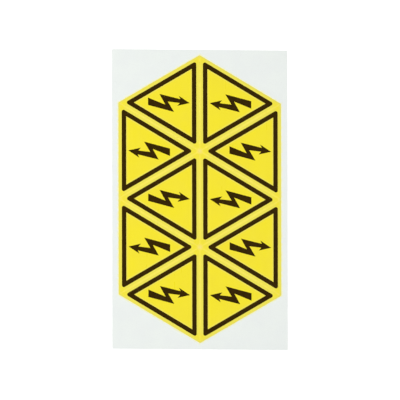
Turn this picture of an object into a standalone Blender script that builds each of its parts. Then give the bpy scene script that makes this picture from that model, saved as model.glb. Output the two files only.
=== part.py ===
"""A sheet of ten self-adhesive high voltage warning labels on a release liner.

The liner lies flat on the XY plane, with its printed side up and its long side along Y.
Ten triangles of yellow film are kiss-cut on it in two columns of five, edge to edge.
Each one carries a printed frame and a printed lightning bolt, the sign for electrical danger.
The origin is under the middle of the liner, on the surface that the sheet lies on.
"""
import math

import bmesh
import bpy
from mathutils import Vector

# Driving sizes of the labels, in metres
LABEL_SIDE = 0.0500
LABELS_PER_COLUMN = 5
KNIFE_SLIT = 0.0001
LABEL_CORNER_RADIUS = 0.00015

# Driving sizes of the print on each label
FRAME_INSET = 0.00178
FRAME_STROKE = 0.00235
FRAME_CORNER_RADIUS = 0.0010
BOLT_TIP_CLEARANCE = 0.00118
BOLT_TAIL_CLEARANCE = 0.00148

# Bare liner left round the labels
MARGIN_LEFT = 0.0034
MARGIN_RIGHT = 0.0035
MARGIN_TOP = 0.0028
MARGIN_BOTTOM = 0.0033

# Thickness of each layer, from the bottom up
LINER_THICKNESS = 0.00015
ADHESIVE_GAP = 0.00002
FILM_THICKNESS = 0.00010
INK_GAP = 0.000005
INK_THICKNESS = 0.00002

# Steps in each rounded corner
CORNER_STEPS = 12

# The lightning bolt's outline on a square grid, drawn for a label whose lone corner points
# to -X. It is counted from the arrow's tip along X and from the label's middle line along Y.
BOLT_TAIL_CORNER = (-441, 53)
BOLT_OUTLINE = (
    (0, -1),        # tip
    (-116, 74),     # upper barb
    (-98, 39),      # where the shaft meets the upper barb
    (-321, 92),     # upper spike
    (-258, -19),    # notch under the upper spike
    BOLT_TAIL_CORNER,
    (-441, -24),    # lower corner of the tail
    (-166, -94),    # lower spike
    (-231, 13),     # notch over the lower spike
    (-105, -1),     # where the shaft meets the lower barb
    (-132, -30),    # lower barb
)

# Finish of each material: linear colour, roughness and metallic value
LINER_FINISH = ((0.85, 0.90, 0.85), 0.42, 0.0)
FILM_FINISH = ((0.92, 0.79, 0.045), 0.32, 0.0)
INK_FINISH = ((0.042, 0.027, 0.009), 0.45, 0.0)

# Heights that follow from the layers
FILM_BOTTOM = LINER_THICKNESS + ADHESIVE_GAP
INK_BOTTOM = FILM_BOTTOM + FILM_THICKNESS + INK_GAP

# Distance from the middle of a label to its cut lines, and of the print's edges inside them
CUT_INRADIUS = LABEL_SIDE / (2.0 * math.sqrt(3.0))
FRAME_INRADIUS = CUT_INRADIUS - FRAME_INSET
FIELD_INRADIUS = FRAME_INRADIUS - FRAME_STROKE

# Outer size of one column of labels
COLUMN_WIDTH = 3.0 * CUT_INRADIUS
COLUMN_HEIGHT = (LABELS_PER_COLUMN + 1) / 2.0 * LABEL_SIDE

# Outer size of the liner
LINER_WIDTH = MARGIN_LEFT + 2.0 * COLUMN_WIDTH + MARGIN_RIGHT
LINER_HEIGHT = MARGIN_BOTTOM + COLUMN_HEIGHT + MARGIN_TOP


def clear_scene():
    """Remove every object of the scene that the script starts in."""
    for item in list(bpy.data.objects):
        bpy.data.objects.remove(item, do_unlink=True)


def make_material(name, finish):
    """Return a Principled material of one linear colour, roughness and metallic value."""
    colour, roughness, metallic = finish
    material = bpy.data.materials.new(name)
    material.use_nodes = True
    shader = material.node_tree.nodes["Principled BSDF"]
    shader.inputs["Base Color"].default_value = (*colour, 1.0)
    shader.inputs["Roughness"].default_value = roughness
    shader.inputs["Metallic"].default_value = metallic
    material.diffuse_color = (*colour, 1.0)
    return material


def rectangle(width, height):
    """Return the corners of a rectangle round the origin, counterclockwise."""
    signs = ((-1, -1), (1, -1), (1, 1), (-1, 1))
    return [Vector((x * width / 2.0, y * height / 2.0)) for x, y in signs]


def triangle(inradius, corner_radius=0.0):
    """Return an equilateral triangle with one corner towards -X, counterclockwise.

    A corner radius turns each corner into an arc that both of its sides run into.
    """
    points = []
    for corner in range(3):
        heading = math.pi + corner * math.tau / 3.0
        outward = Vector((math.cos(heading), math.sin(heading)))
        if corner_radius == 0.0:
            points.append(outward * 2.0 * inradius)
            continue
        centre = outward * 2.0 * (inradius - corner_radius)
        for step in range(CORNER_STEPS + 1):
            turn = heading + math.tau / 3.0 * (step / CORNER_STEPS - 0.5)
            points.append(centre + corner_radius * Vector((math.cos(turn), math.sin(turn))))
    return points


def lightning_bolt():
    """Return the bolt's outline, sized to fit the field inside the frame.

    Its tip stops short of the upright side of the field by its own clearance. The upper
    corner of the tail does the same at the sloping side, and this sets the grid's step.
    """
    tip_x = FIELD_INRADIUS - BOLT_TIP_CLEARANCE
    room_at_tail = FIELD_INRADIUS + tip_x / 2.0 - BOLT_TAIL_CLEARANCE
    tail_x, tail_y = BOLT_TAIL_CORNER
    steps_at_tail = -tail_x / 2.0 + tail_y * math.sqrt(3.0) / 2.0
    grid = room_at_tail / steps_at_tail
    return [Vector((tip_x + x * grid, y * grid)) for x, y in BOLT_OUTLINE]


def layer_mesh(name, outline, thickness, material, opening=None):
    """Return a flat layer: the outline filled round its opening, then drawn up."""
    bm = bmesh.new()
    border = []
    for loop in (outline, opening):
        if loop is None:
            continue
        corners = [bm.verts.new((point.x, point.y, 0.0)) for point in loop]
        for start, end in zip(corners, corners[1:] + corners[:1]):
            border.append(bm.edges.new((start, end)))
    bmesh.ops.triangle_fill(bm, edges=border, use_beauty=True)
    drawn = bmesh.ops.extrude_face_region(bm, geom=bm.faces[:])
    raised = [item for item in drawn["geom"] if isinstance(item, bmesh.types.BMVert)]
    bmesh.ops.translate(bm, verts=raised, vec=(0.0, 0.0, thickness))
    bmesh.ops.recalc_face_normals(bm, faces=bm.faces[:])
    mesh = bpy.data.meshes.new(name)
    bm.to_mesh(mesh)
    bm.free()
    mesh.materials.append(material)
    return mesh


def place(name, mesh, height, parent=None):
    """Put a mesh, or an empty if there is none, in the scene at a height above its parent."""
    item = bpy.data.objects.new(name, mesh)
    item.location.z = height
    item.parent = parent
    bpy.context.scene.collection.objects.link(item)
    return item


def label_seats():
    """Yield the middle of each label and whether it is turned half round.

    Labels alternate down a column: one points out from the middle line of the sheet and
    the next points in to it. The right column is the left one turned half round.
    """
    middle_x = (MARGIN_LEFT - MARGIN_RIGHT) / 2.0
    middle_y = (MARGIN_BOTTOM - MARGIN_TOP) / 2.0
    for side in (-1, 1):
        for place_down in range(LABELS_PER_COLUMN):
            points_in = place_down % 2 == 1
            from_middle = 2.0 * CUT_INRADIUS if points_in else CUT_INRADIUS
            x = middle_x + side * from_middle
            y = middle_y + ((LABELS_PER_COLUMN - 1) / 2.0 - place_down) * LABEL_SIDE / 2.0
            turned = (side > 0) != points_in
            yield x, y, turned


def release_liner_mesh():
    """Return the sheet of coated paper that all labels lie on."""
    material = make_material("release_liner_paper", LINER_FINISH)
    return layer_mesh("release_liner", rectangle(LINER_WIDTH, LINER_HEIGHT), LINER_THICKNESS, material)


def film_mesh():
    """Return a label's yellow film, cut half a slit inside its cut lines."""
    material = make_material("yellow_vinyl_film", FILM_FINISH)
    outline = triangle(CUT_INRADIUS - KNIFE_SLIT / 2.0, LABEL_CORNER_RADIUS)
    return layer_mesh("label_film", outline, FILM_THICKNESS, material)


def frame_mesh(ink):
    """Return a label's printed frame, round outside and sharp inside at its corners."""
    outline = triangle(FRAME_INRADIUS, FRAME_CORNER_RADIUS)
    return layer_mesh("label_frame", outline, INK_THICKNESS, ink, opening=triangle(FIELD_INRADIUS))


def bolt_mesh(ink):
    """Return a label's printed lightning bolt."""
    return layer_mesh("label_bolt", lightning_bolt(), INK_THICKNESS, ink)


def build_sheet():
    """Lay the liner, and on it every label with its film, frame and bolt."""
    liner = place("release_liner", release_liner_mesh(), 0.0)
    ink = make_material("black_ink", INK_FINISH)
    layers = (
        ("film", film_mesh(), FILM_BOTTOM),
        ("frame", frame_mesh(ink), INK_BOTTOM),
        ("bolt", bolt_mesh(ink), INK_BOTTOM),
    )
    for number, (x, y, turned) in enumerate(label_seats(), start=1):
        seat = place(f"label_{number:02d}", None, 0.0, liner)
        seat.location.xy = (x, y)
        seat.rotation_euler.z = math.pi if turned else 0.0
        for layer, mesh, height in layers:
            place(f"label_{number:02d}_{layer}", mesh, height, seat)


clear_scene()
build_sheet()
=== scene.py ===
"""Looks of a sheet of ten high voltage warning labels that lies on a white table.

Each layer of the sheet is a finished copy of its solid in the frame. Its edges get the
small roll that a knife leaves, and its foot comes down onto the layer that carries it.
A thin coat of adhesive is added under each label. All materials are procedural. The
tints of film and liner also follow the cut lines, which the places of the films give.
"""
import logging
import math
from collections.abc import Callable
from dataclasses import dataclass
from enum import Enum
from typing import ClassVar

import bpy
from mathutils import Matrix, Vector


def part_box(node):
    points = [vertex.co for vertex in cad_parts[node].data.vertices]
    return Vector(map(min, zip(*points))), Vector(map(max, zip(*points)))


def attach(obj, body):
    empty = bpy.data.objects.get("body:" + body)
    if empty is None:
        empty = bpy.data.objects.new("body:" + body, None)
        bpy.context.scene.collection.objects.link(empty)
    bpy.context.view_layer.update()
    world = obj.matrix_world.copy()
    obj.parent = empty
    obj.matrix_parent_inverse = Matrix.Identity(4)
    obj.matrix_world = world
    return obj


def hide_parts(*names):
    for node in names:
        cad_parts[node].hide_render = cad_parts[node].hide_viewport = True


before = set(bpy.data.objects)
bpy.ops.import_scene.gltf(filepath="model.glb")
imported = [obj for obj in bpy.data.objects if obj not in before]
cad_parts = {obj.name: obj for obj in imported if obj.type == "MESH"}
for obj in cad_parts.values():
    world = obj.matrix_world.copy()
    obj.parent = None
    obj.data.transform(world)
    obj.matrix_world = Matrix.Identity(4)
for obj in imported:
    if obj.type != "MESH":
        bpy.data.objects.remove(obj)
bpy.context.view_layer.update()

Colour = tuple[float, float, float]
Span = tuple[float, float]
Socket = bpy.types.NodeSocket

LOG = logging.getLogger("label_sheet")
MILLIMETRE = 0.001
MICRON = 0.000001
LABEL_COUNT = 10
IMAGE_SIDE_PX = 400.0

WHITE_LIGHT = (1.0, 1.0, 1.0, 1.0)

# The whole range of a share, from none to all and from all to none
RISE: Span = (0.0, 1.0)
FALL: Span = (1.0, 0.0)

# Difference in height below which two points count as level
LEVEL_TOLERANCE = 0.5 * MICRON


class Slot(Enum):
    """Names of the record's material slots; no piece here is given one."""

    RELEASE_PAPER = "release_paper"
    YELLOW_VINYL = "yellow_vinyl"
    BLACK_INK = "black_ink"


class Layer(Enum):
    """Layers of a label, by the ends of their nodes' names."""

    FILM = "film"
    FRAME = "frame"
    BOLT = "bolt"


class Arithmetic(Enum):
    """Operations that make one value of two."""

    ADD = "ADD"
    SUBTRACT = "SUBTRACT"
    MULTIPLY = "MULTIPLY"
    DIVIDE = "DIVIDE"
    MINIMUM = "MINIMUM"
    MAXIMUM = "MAXIMUM"
    PINGPONG = "PINGPONG"


def label_node(number: int, layer: Layer) -> str:
    """Return the name of the frame's node for one layer of a label, counted from 1."""
    return f"label_{number:02d}_{layer.value}"


def film_middle(number: int) -> Vector:
    """Return the middle of the box that holds a label's film."""
    low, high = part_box(label_node(number, Layer.FILM))
    return (low + high) / 2.0


def labels_middle() -> Vector:
    """Find the middle of all labels, at the height of the table.

    Returns:
        The point halfway between the first and the last label, which lie opposite each other.
    """
    middle = (film_middle(1) + film_middle(LABEL_COUNT)) / 2.0
    middle.z = 0.0
    return middle


def label_height() -> float:
    """Find a label's height across the sheet, from one upright cut line to the next.

    Returns:
        The height, from the first two labels of a column, which lie half a side apart.
    """
    half_side = film_middle(1).y - film_middle(2).y
    return half_side * math.sqrt(3.0)


def label_inradius() -> float:
    """Return the distance from a label's middle to its cut lines, a third of its height."""
    return label_height() / 3.0


class NodeTable:
    """A node tree, with short ways to add nodes and to join them.

    The colour mixing node's sockets go by number, because several share a name.
    """

    MIX_SHARE: ClassVar[int] = 0
    MIX_LOW: ClassVar[int] = 6
    MIX_HIGH: ClassVar[int] = 7
    MIXED_COLOUR: ClassVar[int] = 2

    def __init__(self, tree: bpy.types.NodeTree) -> None:
        """Keep the tree that nodes are added to."""
        self.tree = tree

    def add(
        self, kind: str, values: dict[str | int, object] | None = None, **settings: object
    ) -> bpy.types.Node:
        """Add one node.

        Args:
            kind: The node's type, without its leading word ShaderNode.
            values: What its input sockets hold or are joined to, by name or number.
            settings: Properties of the node itself.

        Returns:
            The new node.
        """
        node = self.tree.nodes.new("ShaderNode" + kind)
        for name, setting in settings.items():
            setattr(node, name, setting)
        for key, value in (values or {}).items():
            if isinstance(value, bpy.types.NodeSocket):
                self.tree.links.new(value, node.inputs[key])
            else:
                node.inputs[key].default_value = value
        return node

    def blend(self, share: Socket, low: Colour | Socket, high: Colour | Socket) -> Socket:
        """Mix two colours.

        Args:
            share: How much of the second colour there is, from 0 to 1.
            low: The first colour, or the socket that gives it.
            high: The second colour, or the socket that gives it.

        Returns:
            The socket of the mixed colour.
        """
        mix = self.add("Mix", {self.MIX_SHARE: share}, data_type="RGBA")
        for number, colour in ((self.MIX_LOW, low), (self.MIX_HIGH, high)):
            if isinstance(colour, bpy.types.NodeSocket):
                self.tree.links.new(colour, mix.inputs[number])
            else:
                mix.inputs[number].default_value = (*colour, 1.0)
        return mix.outputs[self.MIXED_COLOUR]

    def spread(self, value: Socket, source: Span, target: tuple[float | Socket, float]) -> Socket:
        """Map a value from one range to another, with soft ends.

        Args:
            value: The socket of the value.
            source: Where the value starts and ends.
            target: What the start and the end become; the first may be a socket.

        Returns:
            The socket of the mapped value.
        """
        ranges = {
            "Value": value,
            "From Min": source[0],
            "From Max": source[1],
            "To Min": target[0],
            "To Max": target[1],
        }
        return self.add("MapRange", ranges, interpolation_type="SMOOTHSTEP").outputs[0]

    def calculate(
        self, way: Arithmetic, first: float | Socket, second: float | Socket
    ) -> Socket:
        """Make one value of two.

        Args:
            way: The operation.
            first: The first value or its socket.
            second: The second value or its socket.

        Returns:
            The socket of the result.
        """
        return self.add("Math", {0: first, 1: second}, operation=way.value).outputs[0]

    def unsigned(self, value: Socket) -> Socket:
        """Drop the sign of a value and return the socket of what is left."""
        return self.add("Math", {0: value}, operation="ABSOLUTE").outputs[0]

    def least(self, values: list[Socket]) -> Socket:
        """Find the least of several values.

        Args:
            values: The sockets of the values, at least one.

        Returns:
            The socket of the least one.
        """
        smallest, *others = values
        for value in others:
            smallest = self.calculate(Arithmetic.MINIMUM, smallest, value)
        return smallest

    def noise(self, where: Socket, scale: float | Socket, detail: float | Socket) -> Socket:
        """Add a noise.

        Args:
            where: The socket of the coordinates.
            scale: How many blotches go to a metre of the coordinates.
            detail: How many finer noises are laid over the first.

        Returns:
            The socket of the noise, which wavers about 0.5.
        """
        settings = {"Vector": where, "Scale": scale, "Detail": detail}
        return self.add("TexNoise", settings).outputs["Fac"]


class Effect:
    """A shader node group that several materials place with their own values.

    Attributes:
        name: The group's name.
        sizes: Names of the sizes that a material gives it.
        result: Name of the pattern that it puts out.
    """

    name: ClassVar[str]
    sizes: ClassVar[tuple[str, ...]]
    result: ClassVar[str]

    @classmethod
    def place(cls, table: NodeTable, where: Socket, *sizes: float) -> Socket:
        """Place the group in a material.

        Args:
            table: The material's node table.
            where: The socket of the coordinates that the pattern lies in.
            sizes: The pattern's own sizes, in the order of the group's inputs.

        Returns:
            The socket of the pattern.
        """
        tree = bpy.data.node_groups.get(cls.name) or cls.build()
        node = table.add("Group", node_tree=tree)
        table.tree.links.new(where, node.inputs["Vector"])
        for name, size in zip(cls.sizes, sizes, strict=True):
            node.inputs[name].default_value = size
        return node.outputs[cls.result]

    @classmethod
    def build(cls) -> bpy.types.NodeTree:
        """Make the group's tree with its named sockets.

        Returns:
            The tree.
        """
        tree = bpy.data.node_groups.new(cls.name, "ShaderNodeTree")
        tree.interface.new_socket("Vector", in_out="INPUT", socket_type="NodeSocketVector")
        for name in cls.sizes:
            tree.interface.new_socket(name, in_out="INPUT", socket_type="NodeSocketFloat")
        tree.interface.new_socket(cls.result, in_out="OUTPUT", socket_type="NodeSocketFloat")
        given = tree.nodes.new("NodeGroupInput").outputs
        outcome = tree.nodes.new("NodeGroupOutput").inputs[cls.result]
        tree.links.new(cls.draw(NodeTable(tree), given), outcome)
        return tree

    @classmethod
    def draw(cls, table: NodeTable, given: bpy.types.NodeOutputs) -> Socket:
        """Draw the pattern inside the group.

        Args:
            table: The group's node table.
            given: The sockets that bring in the coordinates and the sizes.

        Returns:
            The socket of the pattern.
        """
        raise NotImplementedError


class Clouds(Effect):
    """Soft clouds of a chosen size, from 0 to 1.

    Attributes:
        DETAIL: How many finer noises lie on the broad one.
        CONTRAST: Levels of the noise that become no cloud and full cloud.
    """

    name = "soft_clouds"
    sizes = ("Cloud Size",)
    result = "Clouds"
    DETAIL: ClassVar[float] = 3.0
    CONTRAST: ClassVar[Span] = (0.3, 0.7)

    @classmethod
    def draw(cls, table: NodeTable, given: bpy.types.NodeOutputs) -> Socket:
        """Draw a broad noise and stretch its contrast.

        Args:
            table: The group's node table.
            given: The sockets that bring in the coordinates and the clouds' size.

        Returns:
            The socket of the clouds.
        """
        scale = table.calculate(Arithmetic.DIVIDE, 1.0, given["Cloud Size"])
        noise = table.noise(given["Vector"], scale, cls.DETAIL)
        return table.spread(noise, cls.CONTRAST, RISE)


class Grain(Effect):
    """Fine relief of a chosen grain size, from 0 to 1."""

    name = "fine_grain"
    sizes = ("Grain Size", "Grain Detail")
    result = "Height"

    @classmethod
    def draw(cls, table: NodeTable, given: bpy.types.NodeOutputs) -> Socket:
        """Draw a fine noise and return its socket."""
        scale = table.calculate(Arithmetic.DIVIDE, 1.0, given["Grain Size"])
        return table.noise(given["Vector"], scale, given["Grain Detail"])


class Streaks(Effect):
    """Faint streaks along the sheet, as a coating roller leaves them, from 0 to 1.

    Attributes:
        DETAIL: How many finer noises lie on the first.
        CONTRAST: Levels of the noise that become no streak and full streak.
    """

    name = "roller_streaks"
    sizes = ("Streak Width", "Streak Length")
    result = "Streaks"
    DETAIL: ClassVar[float] = 2.0
    CONTRAST: ClassVar[Span] = (0.25, 0.75)

    @classmethod
    def draw(cls, table: NodeTable, given: bpy.types.NodeOutputs) -> Socket:
        """Draw a noise that is drawn out along Y.

        Args:
            table: The group's node table.
            given: The sockets that bring in the coordinates and the streaks' sizes.

        Returns:
            The socket of the streaks.
        """
        apart = table.add("SeparateXYZ", {0: given["Vector"]}).outputs
        across = table.calculate(Arithmetic.DIVIDE, apart["X"], given["Streak Width"])
        along = table.calculate(Arithmetic.DIVIDE, apart["Y"], given["Streak Length"])
        where = table.add("CombineXYZ", {"X": across, "Y": along}).outputs[0]
        noise = table.noise(where, 1.0, cls.DETAIL)
        return table.spread(noise, cls.CONTRAST, RISE)


class Fibres(Effect):
    """Short crooked threads, as the fibres of paper show, from 0 to 1.

    Attributes:
        PATH_DETAIL: How many finer noises bend the threads.
        PATH_LEVEL: Level of the noise that the threads follow.
        BREAKS_PER_PATH: How much finer the noise is that breaks them up.
        BREAK_DETAIL: How many finer noises lie on that.
        BREAK_CONTRAST: Its levels at which a thread is gone and is whole.
    """

    name = "paper_fibres"
    sizes = ("Fibre Reach", "Fibre Width")
    result = "Fibres"
    PATH_DETAIL: ClassVar[float] = 1.0
    PATH_LEVEL: ClassVar[float] = 0.5
    BREAKS_PER_PATH: ClassVar[float] = 1.7
    BREAK_DETAIL: ClassVar[float] = 0.0
    BREAK_CONTRAST: ClassVar[Span] = (0.48, 0.60)

    @classmethod
    def draw(cls, table: NodeTable, given: bpy.types.NodeOutputs) -> Socket:
        """Draw the level lines of a noise, broken up by another.

        Args:
            table: The group's node table.
            given: The sockets that bring in the coordinates and the fibres' sizes.

        Returns:
            The socket of the fibres.
        """
        scale = table.calculate(Arithmetic.DIVIDE, 1.0, given["Fibre Reach"])
        paths = table.noise(given["Vector"], scale, cls.PATH_DETAIL)
        off_line = table.calculate(Arithmetic.SUBTRACT, paths, cls.PATH_LEVEL)
        distance = table.unsigned(off_line)
        threads = table.calculate(Arithmetic.DIVIDE, distance, given["Fibre Width"])
        threads = table.spread(threads, RISE, FALL)
        finer = table.calculate(Arithmetic.MULTIPLY, scale, cls.BREAKS_PER_PATH)
        breaks = table.noise(given["Vector"], finer, cls.BREAK_DETAIL)
        kept = table.spread(breaks, cls.BREAK_CONTRAST, RISE)
        return table.calculate(Arithmetic.MULTIPLY, threads, kept)


class CutLines(Effect):
    """Distance to the nearest cut line between the labels, in metres.

    The cut lines run in three directions, a label's height apart. The group's coordinates
    start from the middle of all labels, which an upright line runs through. A line of
    each other direction passes it half a label's height away on either side.

    Attributes:
        HEADINGS: Directions in which the distance is measured, in degrees from X.
        STARTS: Distance from the middle to the nearest line of each, in label heights.
        HALF_WAY: The furthest that a point can be from the lines of one, in label heights.
    """

    name = "cut_line_distance"
    sizes = ("Label Height",)
    result = "Distance"
    HEADINGS: ClassVar[tuple[float, ...]] = (0.0, 60.0, 120.0)
    STARTS: ClassVar[tuple[float, ...]] = (0.0, 0.5, 0.5)
    HALF_WAY: ClassVar[float] = 0.5

    @classmethod
    def measure(cls, table: NodeTable, where: Socket) -> Socket:
        """Place the group in a material so that it measures on the sheet's own labels.

        Args:
            table: The material's node table.
            where: The socket of the coordinates.

        Returns:
            The socket of the distance.
        """
        centred = table.add("Mapping", {"Vector": where, "Location": -labels_middle()})
        return cls.place(table, centred.outputs[0], label_height())

    @classmethod
    def reaches(cls, table: NodeTable, given: bpy.types.NodeOutputs) -> list[Socket]:
        """Measure how far a point lies from the middle, across each direction of lines.

        Args:
            table: The group's node table.
            given: The sockets that bring in the coordinates and the label's height.

        Returns:
            The sockets of the three measures, counted in label heights.
        """
        measures = []
        for heading in cls.HEADINGS:
            turn = math.radians(heading)
            pair = {0: given["Vector"], 1: (math.cos(turn), math.sin(turn), 0.0)}
            reach = table.add("VectorMath", pair, operation="DOT_PRODUCT").outputs["Value"]
            measures.append(table.calculate(Arithmetic.DIVIDE, reach, given["Label Height"]))
        return measures

    @classmethod
    def gaps(cls, table: NodeTable, given: bpy.types.NodeOutputs) -> list[Socket]:
        """Measure the distance to the nearest line of each direction.

        Args:
            table: The group's node table.
            given: The sockets that bring in the coordinates and the label's height.

        Returns:
            The sockets of the three distances, counted in label heights.
        """
        found = []
        for reach, start in zip(cls.reaches(table, given), cls.STARTS, strict=True):
            place = table.calculate(Arithmetic.ADD, reach, start)
            found.append(table.calculate(Arithmetic.PINGPONG, place, cls.HALF_WAY))
        return found

    @classmethod
    def draw(cls, table: NodeTable, given: bpy.types.NodeOutputs) -> Socket:
        """Take the least of the three distances and return its socket."""
        nearest = table.least(cls.gaps(table, given))
        return table.calculate(Arithmetic.MULTIPLY, nearest, given["Label Height"])


class LabelCorners(CutLines):
    """Distance to the second nearest cut line, which shrinks towards a label's corner."""

    name = "label_corner_distance"

    @classmethod
    def draw(cls, table: NodeTable, given: bpy.types.NodeOutputs) -> Socket:
        """Take the middle one of the three distances.

        Args:
            table: The group's node table.
            given: The sockets that bring in the coordinates and the label's height.

        Returns:
            The socket of the distance, in metres.
        """
        first, second, third = cls.gaps(table, given)
        nearer = table.calculate(Arithmetic.MINIMUM, first, second)
        further = table.calculate(Arithmetic.MAXIMUM, first, second)
        further = table.calculate(Arithmetic.MINIMUM, further, third)
        between = table.calculate(Arithmetic.MAXIMUM, nearer, further)
        return table.calculate(Arithmetic.MULTIPLY, between, given["Label Height"])


class OuterEdge(CutLines):
    """Distance in from the outline that all labels make together, in metres.

    Attributes:
        ENDS: Distance from the middle to the last line of each direction, in label heights.
    """

    name = "outer_edge_distance"
    ENDS: ClassVar[tuple[float, ...]] = (1.0, 1.5, 1.5)

    @classmethod
    def draw(cls, table: NodeTable, given: bpy.types.NodeOutputs) -> Socket:
        """Take the least distance to the last line of each direction.

        Args:
            table: The group's node table.
            given: The sockets that bring in the coordinates and the label's height.

        Returns:
            The socket of the distance, in metres; it is below 0 outside the outline.
        """
        rooms = []
        for reach, end in zip(cls.reaches(table, given), cls.ENDS, strict=True):
            rooms.append(table.calculate(Arithmetic.SUBTRACT, end, table.unsigned(reach)))
        return table.calculate(Arithmetic.MULTIPLY, table.least(rooms), given["Label Height"])


@dataclass(frozen=True)
class Finish:
    """A surface of two close tints in soft clouds, with uneven gloss and a fine relief.

    Attributes:
        name: The material's name.
        tint: The surface's colour.
        cloud_tint: Its colour in the middle of the clouds.
        cloud_size: Size of the clouds.
        roughness: Roughness where haze and streaks are least and where they are most.
        haze_size: Size of the blotches of haze in the gloss.
        streak_width: Width of the streaks in the gloss.
        grain_size: Size of the grain in the relief.
        grain_depth: Height of the relief.
        grain_detail: How much finer grain lies on the first.
        streak_length: Length of the streaks in the gloss.
        shine: Strength of the plain reflection, where 0.5 is that of most plastics.
        BOTH_PATTERNS: Range of haze and streaks added up.
    """

    name: str
    tint: Colour
    cloud_tint: Colour
    cloud_size: float
    roughness: Span
    haze_size: float
    streak_width: float
    grain_size: float
    grain_depth: float
    grain_detail: float = 2.0
    streak_length: float = 60.0 * MILLIMETRE
    shine: float = 0.5

    BOTH_PATTERNS: ClassVar[Span] = (0.0, 2.0)

    def material(self) -> bpy.types.Material:
        """Return the Blender material, which is made when it is first asked for."""
        return bpy.data.materials.get(self.name) or self.mixed()

    def mixed(self) -> bpy.types.Material:
        """Make the Blender material.

        Returns:
            The material, with its colour, gloss and relief joined to the shader.
        """
        made = bpy.data.materials.new(self.name)
        made.use_nodes = True
        table = NodeTable(made.node_tree)
        where = table.add("TexCoord").outputs["Object"]
        shader = made.node_tree.nodes["Principled BSDF"]
        join = made.node_tree.links.new
        join(self.colour(table, where), shader.inputs["Base Color"])
        join(self.gloss(table, where), shader.inputs["Roughness"])
        bump = table.add("Bump", {"Height": self.relief(table, where)})
        bump.inputs["Distance"].default_value = self.grain_depth
        join(bump.outputs["Normal"], shader.inputs["Normal"])
        shader.inputs["Specular IOR Level"].default_value = self.shine
        made.diffuse_color = (*self.tint, 1.0)
        return made

    def colour(self, table: NodeTable, where: Socket) -> Socket:
        """Colour the surface by its clouds and return the socket of the colour."""
        clouds = Clouds.place(table, where, self.cloud_size)
        return table.blend(clouds, self.tint, self.cloud_tint)

    def gloss(self, table: NodeTable, where: Socket) -> Socket:
        """Vary the roughness by a haze of handling and by the roller's streaks.

        Args:
            table: The material's node table.
            where: The socket of the coordinates.

        Returns:
            The socket of the roughness.
        """
        haze = Clouds.place(table, where, self.haze_size)
        streaks = Streaks.place(table, where, self.streak_width, self.streak_length)
        unevenness = table.calculate(Arithmetic.ADD, haze, streaks)
        return table.spread(unevenness, self.BOTH_PATTERNS, self.roughness)

    def relief(self, table: NodeTable, where: Socket) -> Socket:
        """Raise the surface's grain and return the socket of its height, from 0 to 1."""
        return Grain.place(table, where, self.grain_size, self.grain_detail)


@dataclass(frozen=True)
class PaperFinish(Finish):
    """A finish on paper, whose fibres show as faint threads.

    Attributes:
        fibre_tint: The fibres' colour.
        fibre_reach: How far a fibre runs before it bends.
        fibre_width: How far the noise may be from its middle level within a fibre.
    """

    fibre_tint: Colour = (0.78, 0.80, 0.77)
    fibre_reach: float = 0.9 * MILLIMETRE
    fibre_width: float = 0.035

    def colour(self, table: NodeTable, where: Socket) -> Socket:
        """Colour the paper and lay its fibres over it.

        Args:
            table: The material's node table.
            where: The socket of the coordinates.

        Returns:
            The socket of the colour.
        """
        paper = super().colour(table, where)
        fibres = Fibres.place(table, where, self.fibre_reach, self.fibre_width)
        return table.blend(fibres, paper, self.fibre_tint)


@dataclass(frozen=True)
class LinerFinish(PaperFinish):
    """A finish on the liner, which keeps a faint smear of adhesive round the labels.

    The smear has the film's tinge. It runs along the outline where the waste film was
    pulled off, and its width wanders.

    Attributes:
        smear_tint: Colour of the liner under the smear.
        smear_fade: Distances in from the outline at which the smear starts and is full.
        smear_wander: How far the smear's border wanders.
        smear_length: Size of the waves in its border.
    """

    smear_tint: Colour = (0.930, 0.922, 0.450)
    smear_fade: Span = (-1.4 * MILLIMETRE, 0.15 * MILLIMETRE)
    smear_wander: float = 0.7 * MILLIMETRE
    smear_length: float = 1.6 * MILLIMETRE

    def colour(self, table: NodeTable, where: Socket) -> Socket:
        """Colour the paper and lay the smear over it, by the distance from the outline.

        Args:
            table: The material's node table.
            where: The socket of the coordinates.

        Returns:
            The socket of the colour.
        """
        paper = super().colour(table, where)
        to_outline = OuterEdge.measure(table, where)
        clouds = Clouds.place(table, where, self.smear_length)
        wander = table.calculate(Arithmetic.MULTIPLY, clouds, -self.smear_wander)
        reach = table.calculate(Arithmetic.ADD, to_outline, wander)
        share = table.spread(reach, self.smear_fade, RISE)
        return table.blend(share, paper, self.smear_tint)


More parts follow.
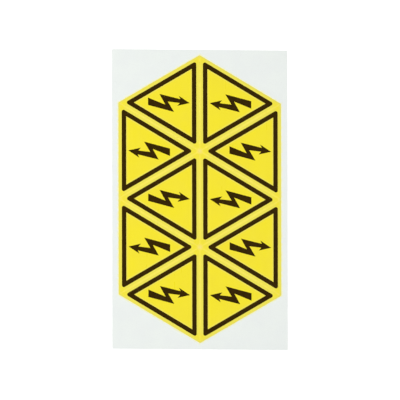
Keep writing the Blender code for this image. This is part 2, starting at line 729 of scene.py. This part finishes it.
@dataclass(frozen=True)
class FilmFinish(Finish):
    """A finish on die-cut film, whose tint follows the print and the cut lines.

    The film is paler beside the printed frame, on both of its sides, and palest along the
    slits and at the tips, where labels meet. It keeps more of its colour at a label's
    corners, where the print stands further off. No slit runs along the outline of all
    labels, so slits and tips fade out there.

    Attributes:
        rim_tint: Colour of the rim outside the print.
        rim_fade: Distances from the cut line at which the rim is full and ends.
        corner_share: How much of the rim's tint is left at a label's corners.
        corner_fade: Distances from the second nearest cut line at which the rim is weakest
            and full.
        slit_tint: Colour along a slit, halfway between two corners.
        slit_corner_tint: Colour along a slit, near a corner.
        slit_fade: Distances from the cut line at which the slit's tint is full and ends.
        slit_growth: Distances from the second nearest cut line between which one of these
            two tints gives way to the other.
        tip_tint: Colour where the tips of labels meet.
        tip_fade: Distances from the second nearest cut line at which it is full and ends.
        field_edge_tint: Colour of the field along the inside of the printed frame.
        field_edge_fade: Distances from the cut line at which it is full and ends.
        outline_fade: Distances in from the outline at which slits and tips start and are full.
    """

    rim_tint: Colour = (0.884, 0.784, 0.087)
    rim_fade: Span = (2.1 * MILLIMETRE, 2.9 * MILLIMETRE)
    corner_share: float = 0.30
    corner_fade: Span = (2.0 * MILLIMETRE, 4.4 * MILLIMETRE)
    slit_tint: Colour = (1.000, 0.875, 0.095)
    slit_corner_tint: Colour = (0.990, 0.850, 0.050)
    slit_fade: Span = (0.15 * MILLIMETRE, 0.85 * MILLIMETRE)
    slit_growth: Span = (2.0 * MILLIMETRE, 17.0 * MILLIMETRE)
    tip_tint: Colour = (1.000, 0.815, 0.170)
    tip_fade: Span = (0.35 * MILLIMETRE, 1.35 * MILLIMETRE)
    field_edge_tint: Colour = (0.900, 0.785, 0.095)
    field_edge_fade: Span = (4.15 * MILLIMETRE, 5.2 * MILLIMETRE)
    outline_fade: Span = (0.6 * MILLIMETRE, 1.2 * MILLIMETRE)

    def colour(self, table: NodeTable, where: Socket) -> Socket:
        """Colour the film and blend in the other tints, by distance.

        Args:
            table: The material's node table.
            where: The socket of the coordinates.

        Returns:
            The socket of the colour.
        """
        film = super().colour(table, where)
        to_cut = CutLines.measure(table, where)
        to_corner = LabelCorners.measure(table, where)
        inside = table.spread(OuterEdge.measure(table, where), self.outline_fade, RISE)

        # The field's edge starts under the print
        under_print = table.spread(to_cut, self.rim_fade, RISE)
        field_edge = table.spread(to_cut, self.field_edge_fade, (under_print, 0.0))
        film = table.blend(field_edge, film, self.field_edge_tint)

        # The rim is weaker at those corners that meet other labels
        rim = table.spread(to_cut, self.rim_fade, FALL)
        at_corner = table.spread(to_corner, self.corner_fade, (inside, 0.0))
        strength = table.spread(at_corner, RISE, (1.0, self.corner_share))
        film = table.blend(table.calculate(Arithmetic.MULTIPLY, rim, strength), film, self.rim_tint)

        # The slits and the tips lie over both
        slit = table.spread(to_cut, self.slit_fade, (inside, 0.0))
        growth = table.spread(to_corner, self.slit_growth, RISE)
        film = table.blend(slit, film, table.blend(growth, self.slit_corner_tint, self.slit_tint))
        tip = table.spread(to_corner, self.tip_fade, (inside, 0.0))
        return table.blend(tip, film, self.tip_tint)


COATED_PAPER = LinerFinish(
    name="silicone_coated_paper",
    tint=(0.866, 0.909, 0.872),
    cloud_tint=(0.852, 0.890, 0.867),
    cloud_size=9.0 * MILLIMETRE,
    roughness=(0.34, 0.46),
    haze_size=14.0 * MILLIMETRE,
    streak_width=2.5 * MILLIMETRE,
    grain_size=0.35 * MILLIMETRE,
    grain_depth=3.0 * MICRON,
    fibre_tint=(0.823, 0.857, 0.828),
)
RAW_PAPER = PaperFinish(
    name="uncoated_paper",
    tint=(0.830, 0.845, 0.820),
    cloud_tint=(0.790, 0.805, 0.775),
    cloud_size=3.0 * MILLIMETRE,
    roughness=(0.72, 0.86),
    haze_size=8.0 * MILLIMETRE,
    streak_width=1.5 * MILLIMETRE,
    grain_size=0.18 * MILLIMETRE,
    grain_depth=12.0 * MICRON,
    grain_detail=4.0,
)
VINYL_FACE = FilmFinish(
    name="yellow_vinyl_face",
    tint=(0.955, 0.815, 0.022),
    cloud_tint=(0.940, 0.795, 0.030),
    cloud_size=11.0 * MILLIMETRE,
    roughness=(0.27, 0.37),
    haze_size=16.0 * MILLIMETRE,
    streak_width=1.8 * MILLIMETRE,
    grain_size=0.55 * MILLIMETRE,
    grain_depth=2.2 * MICRON,
)
VINYL_CUT = Finish(
    name="yellow_vinyl_cut_edge",
    tint=(0.970, 0.862, 0.160),
    cloud_tint=(0.960, 0.848, 0.140),
    cloud_size=0.8 * MILLIMETRE,
    roughness=(0.50, 0.62),
    haze_size=2.0 * MILLIMETRE,
    streak_width=0.5 * MILLIMETRE,
    grain_size=0.05 * MILLIMETRE,
    grain_depth=2.0 * MICRON,
)
BLACK_INK = Finish(
    name="brown_black_ink",
    tint=(0.0395, 0.0203, 0.0010),
    cloud_tint=(0.0300, 0.0158, 0.0007),
    cloud_size=1.6 * MILLIMETRE,
    roughness=(0.28, 0.38),
    haze_size=7.0 * MILLIMETRE,
    streak_width=0.9 * MILLIMETRE,
    grain_size=0.16 * MILLIMETRE,
    grain_depth=1.8 * MICRON,
    grain_detail=3.0,
    shine=0.08,
)
ADHESIVE = Finish(
    name="clear_acrylic_adhesive",
    tint=(0.95, 0.82, 0.36),
    cloud_tint=(0.93, 0.79, 0.31),
    cloud_size=1.0 * MILLIMETRE,
    roughness=(0.18, 0.26),
    haze_size=3.0 * MILLIMETRE,
    streak_width=0.7 * MILLIMETRE,
    grain_size=0.08 * MILLIMETRE,
    grain_depth=1.5 * MICRON,
)


@dataclass(frozen=True)
class TableFinish:
    """A white that stays white to the eye and still takes the sheet's shadow.

    Attributes:
        name: The material's name.
        white: Its colour under the lamps.
        roughness: Its roughness; it has no reflection of its own.
        lift: White that is added to what the eye sees, near the sheet and far from it.
        lift_reach: Distances from the sheet's middle between which the lift changes.
    """

    name: str
    white: Colour
    roughness: float
    lift: Span
    lift_reach: Span

    def material(self) -> bpy.types.Material:
        """Make the Blender material.

        Returns:
            The material.
        """
        made = bpy.data.materials.new(self.name)
        made.use_nodes = True
        table = NodeTable(made.node_tree)
        shader = made.node_tree.nodes["Principled BSDF"]
        shader.inputs["Base Color"].default_value = (*self.white, 1.0)
        shader.inputs["Roughness"].default_value = self.roughness
        shader.inputs["Specular IOR Level"].default_value = 0.0
        shader.inputs["Emission Color"].default_value = WHITE_LIGHT
        path = table.add("LightPath").outputs
        seen = table.calculate(Arithmetic.ADD, path["Is Camera Ray"], path["Is Glossy Ray"])
        seen = table.calculate(Arithmetic.ADD, seen, path["Is Transmission Ray"])
        where = table.add("TexCoord").outputs["Object"]
        reach = table.add("VectorMath", {0: where}, operation="LENGTH").outputs["Value"]
        lift = table.spread(reach, self.lift_reach, self.lift)
        strength = table.calculate(Arithmetic.MULTIPLY, seen, lift)
        made.node_tree.links.new(strength, shader.inputs["Emission Strength"])
        return made


TABLE_WHITE = TableFinish(
    name="white_table_top",
    white=(0.90, 0.90, 0.90),
    roughness=0.9,
    lift=(0.34, 0.70),
    lift_reach=(0.25, 0.90),
)


@dataclass
class CutLayer:
    """One flat layer of the sheet, finished from a copy of its solid.

    Attributes:
        node: The frame's node that the layer is copied from.
        piece_name: The finished piece's name.
        face: Finish of the upper face.
        edge: Finish of the cut walls, the rolled rim and the underside.
        edge_roll: How far the knife rolls the rim over.
        ooze: How far the outline is drawn out past that of the solid.
        MERGE_DISTANCE: How close two points are that become one.
        FLAT_ANGLE: Angle below which two faces become one.
        SMOOTH_ANGLE: Angle below which an edge is shaded smooth.
        ROLL_SEGMENTS: Steps across the rolled rim.
        UP: Least upward part of the normal of a face that looks up.
    """

    node: str
    piece_name: str
    face: Finish
    edge: Finish
    edge_roll: float
    ooze: float = 0.0

    MERGE_DISTANCE: ClassVar[float] = 0.2 * MICRON
    FLAT_ANGLE: ClassVar[float] = math.radians(1.0)
    SMOOTH_ANGLE: ClassVar[float] = math.radians(14.0)
    ROLL_SEGMENTS: ClassVar[int] = 3
    UP: ClassVar[float] = 0.999

    def build(self, floor: float, top: float | None = None) -> bpy.types.Object:
        """Copy the solid, set it between two heights and finish it.

        Args:
            floor: Height that the underside is brought to.
            top: Height that the upper face is brought to, or none to leave it.

        Returns:
            The finished piece.
        """
        low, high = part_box(self.node)
        top = high.z if top is None else top
        piece = self.copied()
        bpy.ops.object.mode_set(mode="EDIT")
        bpy.ops.mesh.select_all(action="SELECT")
        bpy.ops.mesh.remove_doubles(threshold=self.MERGE_DISTANCE)
        bpy.ops.mesh.dissolve_limited(angle_limit=self.FLAT_ANGLE)
        if self.ooze:
            self.draw_out(piece)
        self.raise_level(piece, low.z, floor - low.z)
        self.raise_level(piece, high.z, top - high.z)
        self.roll_rim(piece, top)
        self.dress(piece)
        bpy.ops.object.mode_set(mode="OBJECT")
        bpy.ops.object.shade_smooth_by_angle(angle=self.SMOOTH_ANGLE)
        return piece

    def copied(self) -> bpy.types.Object:
        """Put a copy of the node's mesh in the scene, as a new piece.

        Returns:
            The piece, selected and without materials.
        """
        bpy.ops.object.select_all(action="DESELECT")
        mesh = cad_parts[self.node].data.copy()
        mesh.materials.clear()
        mesh.name = self.piece_name
        piece = bpy.data.objects.new(self.piece_name, mesh)
        bpy.context.scene.collection.objects.link(piece)
        piece.select_set(True)
        bpy.context.view_layer.objects.active = piece
        bpy.ops.mesh.customdata_custom_splitnormals_clear()
        return piece

    def draw_out(self, piece: bpy.types.Object) -> None:
        """Draw a label's outline out evenly, by the ooze at the middle of each side.

        Args:
            piece: The piece, in edit mode with everything selected.
        """
        piece.update_from_editmode()
        corners = [vertex.co for vertex in piece.data.vertices]
        middle = sum(corners, Vector()) / len(corners)
        growth = 1.0 + self.ooze / label_inradius()
        bpy.ops.transform.resize(value=(growth, growth, 1.0), center_override=middle)

    def raise_level(self, piece: bpy.types.Object, level: float, rise: float) -> None:
        """Move every point of one height up or down.

        Args:
            piece: The piece, in edit mode.
            level: The height that the points lie at.
            rise: How far they move up.
        """
        self.pick(piece, lambda vertex: abs(vertex.co.z - level) < LEVEL_TOLERANCE)
        bpy.ops.transform.translate(value=(0.0, 0.0, rise))

    def roll_rim(self, piece: bpy.types.Object, top: float) -> None:
        """Round the rim between the upper face and the cut walls.

        Args:
            piece: The piece, in edit mode.
            top: Height of the upper face.
        """
        self.pick(piece, lambda vertex: abs(vertex.co.z - top) < LEVEL_TOLERANCE)
        bpy.ops.mesh.region_to_loop()
        bpy.ops.mesh.bevel(offset=self.edge_roll, segments=self.ROLL_SEGMENTS, affect="EDGES")

    def pick(
        self, piece: bpy.types.Object, wanted: Callable[[bpy.types.MeshVertex], bool]
    ) -> None:
        """Select the points that pass a test, with the edges and faces between them.

        Args:
            piece: The piece, in edit mode.
            wanted: The test, which takes one vertex.
        """
        bpy.ops.mesh.select_all(action="DESELECT")
        bpy.ops.object.mode_set(mode="OBJECT")
        for vertex in piece.data.vertices:
            vertex.select = wanted(vertex)
        bpy.ops.object.mode_set(mode="EDIT")
        bpy.ops.mesh.select_mode(type="VERT")

    def dress(self, piece: bpy.types.Object) -> None:
        """Give the upper face its finish, and all other faces that of the cut walls.

        Args:
            piece: The piece, in edit mode.
        """
        piece.data.materials.append(self.face.material())
        piece.data.materials.append(self.edge.material())
        bpy.ops.object.mode_set(mode="OBJECT")
        for polygon in piece.data.polygons:
            polygon.material_index = 0 if polygon.normal.z > self.UP else 1
        bpy.ops.object.mode_set(mode="EDIT")


@dataclass
class ReleaseLiner:
    """The sheet of silicone-coated paper that carries the labels.

    Attributes:
        node: The frame's node of the liner.
        edge_roll: How far the knife rolls its rim over.
    """

    node: str = "release_liner"
    edge_roll: float = 0.02 * MILLIMETRE

    def build(self) -> list[bpy.types.Object]:
        """Finish the liner.

        Returns:
            Its one piece, in a list.
        """
        low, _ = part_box(self.node)
        layer = CutLayer(self.node, "liner_sheet", COATED_PAPER, RAW_PAPER, self.edge_roll)
        sheet = layer.build(floor=low.z)
        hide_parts(self.node)
        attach(sheet, "root")
        return [sheet]


@dataclass
class WarningLabel:
    """One self-adhesive label: film with its adhesive, and the print on it.

    Attributes:
        number: The label's number, counted from 1.
        film_roll: How far the knife rolls the film's rim over.
        ink_roll: Roundness of the ink's edges.
        adhesive_roll: Roundness of the adhesive's edges.
        adhesive_ooze: How far the adhesive stands out past the film.
    """

    number: int
    film_roll: float = 0.04 * MILLIMETRE
    ink_roll: float = 0.006 * MILLIMETRE
    adhesive_roll: float = 0.004 * MILLIMETRE
    adhesive_ooze: float = 0.045 * MILLIMETRE

    def build(self) -> list[bpy.types.Object]:
        """Build the label from the liner up.

        Returns:
            Its pieces.
        """
        return [
            self.build_adhesive(),
            self.build_film(),
            self.build_print(Layer.FRAME),
            self.build_print(Layer.BOLT),
        ]

    def build_adhesive(self) -> bpy.types.Object:
        """Fill the space between liner and film with adhesive.

        Returns:
            The coat of adhesive.
        """
        film = label_node(self.number, Layer.FILM)
        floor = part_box("release_liner")[1].z
        name = f"label_{self.number:02d}_adhesive_coat"
        coat = CutLayer(film, name, ADHESIVE, ADHESIVE, self.adhesive_roll, self.adhesive_ooze)
        piece = coat.build(floor=floor, top=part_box(film)[0].z)
        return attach(piece, "root")

    def build_film(self) -> bpy.types.Object:
        """Finish the yellow film.

        Returns:
            The film.
        """
        node = label_node(self.number, Layer.FILM)
        layer = CutLayer(node, node + "_sheet", VINYL_FACE, VINYL_CUT, self.film_roll)
        piece = layer.build(floor=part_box(node)[0].z)
        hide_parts(node)
        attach(piece, "root")
        return piece

    def build_print(self, layer: Layer) -> bpy.types.Object:
        """Finish one island of print, set down on the film.

        Args:
            layer: Which island it is.

        Returns:
            The finished piece.
        """
        node = label_node(self.number, layer)
        film = label_node(self.number, Layer.FILM)
        ink = CutLayer(node, node + "_ink", BLACK_INK, BLACK_INK, self.ink_roll)
        piece = ink.build(floor=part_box(film)[1].z)
        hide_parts(node)
        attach(piece, "root")
        return piece


@dataclass
class Table:
    """The white table top that the sheet lies on. It isn't part of the object.

    Attributes:
        radius: Half its width.
        drop: How far it lies under the sheet.
        rim_points: Points round its rim.
    """

    radius: float = 2.5
    drop: float = 10.0 * MICRON
    rim_points: int = 96

    def build(self) -> bpy.types.Object:
        """Lay the table top just under the sheet.

        Returns:
            The table top.
        """
        bpy.ops.object.select_all(action="DESELECT")
        bpy.ops.mesh.primitive_circle_add(
            vertices=self.rim_points,
            radius=self.radius,
            fill_type="NGON",
            location=(0.0, 0.0, -self.drop),
        )
        top = bpy.context.object
        top.name = "table_top"
        top.data.materials.append(TABLE_WHITE.material())
        return top


@dataclass(frozen=True)
class Lamp:
    """A square soft lamp that faces the middle of the sheet.

    Attributes:
        name: The lamp's name.
        place: Where it hangs.
        side: Length of its sides.
        share: Brightness that it alone gives a matt white at the origin, where 1 is white.
    """

    name: str
    place: tuple[float, float, float]
    side: float
    share: float

    def build(self) -> bpy.types.Object:
        """Hang the lamp, with the power that gives its share of light at the origin.

        Returns:
            The lamp.
        """
        place = Vector(self.place)
        light = bpy.data.lights.new(self.name, "AREA")
        light.size = self.side
        light.energy = self.share * math.pi**2 * place.length**3 / place.z
        lamp = bpy.data.objects.new(self.name, light)
        lamp.location = place
        lamp.rotation_euler = place.to_track_quat("Z", "Y").to_euler()
        lamp.visible_camera = False
        bpy.context.scene.collection.objects.link(lamp)
        return lamp


@dataclass
class Studio:
    """Two soft lamps in a pale room, with shaded low walls and dark cloth overhead.

    Attributes:
        key: The stronger lamp.
        fill: The weaker lamp, across the sheet from it.
        wall_level: Brightness of the walls at half height.
        low_wall_level: Brightness of the walls low down.
        horizon_deg: Angles above the horizon between which white ground becomes low walls.
        shade_deg: Angles between which the low walls become the walls at half height.
        cloth_deg: Angles between which the walls become the cloth.
        cloth_share: Brightness of the cloth, as a share of the walls'.
    """

    key: Lamp = Lamp("key_lamp", (-0.55, 0.10, 0.62), 0.40, 0.40)
    fill: Lamp = Lamp("fill_lamp", (0.55, -0.10, 0.62), 0.40, 0.18)
    wall_level: float = 0.80
    low_wall_level: float = 0.25
    horizon_deg: Span = (1.0, 3.0)
    shade_deg: Span = (9.0, 27.0)
    cloth_deg: Span = (44.0, 56.0)
    cloth_share: float = 0.15

    def build(self) -> None:
        """Set the view's colours, and make the room and the lamps."""
        bpy.context.scene.view_settings.view_transform = "Standard"
        self.build_room()
        for lamp in (self.key, self.fill):
            lamp.build()

    def build_room(self) -> None:
        """Make the room's brightness follow the height above the horizon."""
        world = bpy.data.worlds.new("pale_room")
        world.use_nodes = True
        bpy.context.scene.world = world
        table = NodeTable(world.node_tree)
        direction = table.add("TexCoord").outputs["Generated"]
        height = table.add("SeparateXYZ", {0: direction}).outputs["Z"]
        horizon, shade, cloth = (
            tuple(math.sin(math.radians(angle)) for angle in band)
            for band in (self.horizon_deg, self.shade_deg, self.cloth_deg)
        )
        low_wall = table.spread(height, horizon, (1.0, self.low_wall_level))
        wall = table.spread(height, shade, (low_wall, self.wall_level))
        under_cloth = table.spread(height, cloth, (1.0, self.cloth_share))
        level = table.calculate(Arithmetic.MULTIPLY, wall, under_cloth)
        background = world.node_tree.nodes["Background"]
        background.inputs["Color"].default_value = WHITE_LIGHT
        world.node_tree.links.new(level, background.inputs["Strength"])


@dataclass
class CopyCamera:
    """The camera over the sheet, without perspective and turned a little to one side.

    Attributes:
        px_per_mm: Pixels of the picture to a millimetre square to the view.
        turn_deg: How far the view leans from straight down.
        turn_heading_deg: Direction in which it leans, counted from X.
        roll_deg: How far the picture is turned in its own plane.
        aim: The point in the middle of the picture.
        distance: How far the camera stands from it.
    """

    px_per_mm: float = 1.92224
    turn_deg: float = 12.65
    turn_heading_deg: float = 12.48
    roll_deg: float = -0.196
    aim: tuple[float, float, float] = (0.000047, -0.000219, 0.00027)
    distance: float = 0.8

    def build(self) -> bpy.types.Object:
        """Make the camera the scene's own.

        Returns:
            The camera.
        """
        data = bpy.data.cameras.new("copy_camera")
        data.type = "ORTHO"
        data.ortho_scale = IMAGE_SIDE_PX / self.px_per_mm * MILLIMETRE
        camera = bpy.data.objects.new("copy_camera", data)
        bpy.context.scene.collection.objects.link(camera)
        heading = math.radians(self.turn_heading_deg)
        axis = Vector((-math.sin(heading), math.cos(heading), 0.0))
        lean = Matrix.Rotation(-math.radians(self.turn_deg), 4, axis)
        roll = Matrix.Rotation(-math.radians(self.roll_deg), 4, "Z")
        back = Matrix.Translation((0.0, 0.0, self.distance))
        camera.matrix_world = Matrix.Translation(self.aim) @ lean @ roll @ back
        bpy.context.scene.camera = camera
        return camera


def main() -> None:
    """Build the liner, the labels, the table, the studio and the camera, and log each piece's face
    count.
    """
    logging.basicConfig(level=logging.INFO, format="%(name)s: %(message)s")
    labels = [WarningLabel(number) for number in range(1, LABEL_COUNT + 1)]
    for part in (ReleaseLiner(), *labels):
        for piece in part.build():
            LOG.info("%s has %d faces", piece.name, len(piece.data.polygons))
    LOG.info("%s is laid", Table().build().name)
    Studio().build()
    CopyCamera().build()


if __name__ == "__main__":
    main()
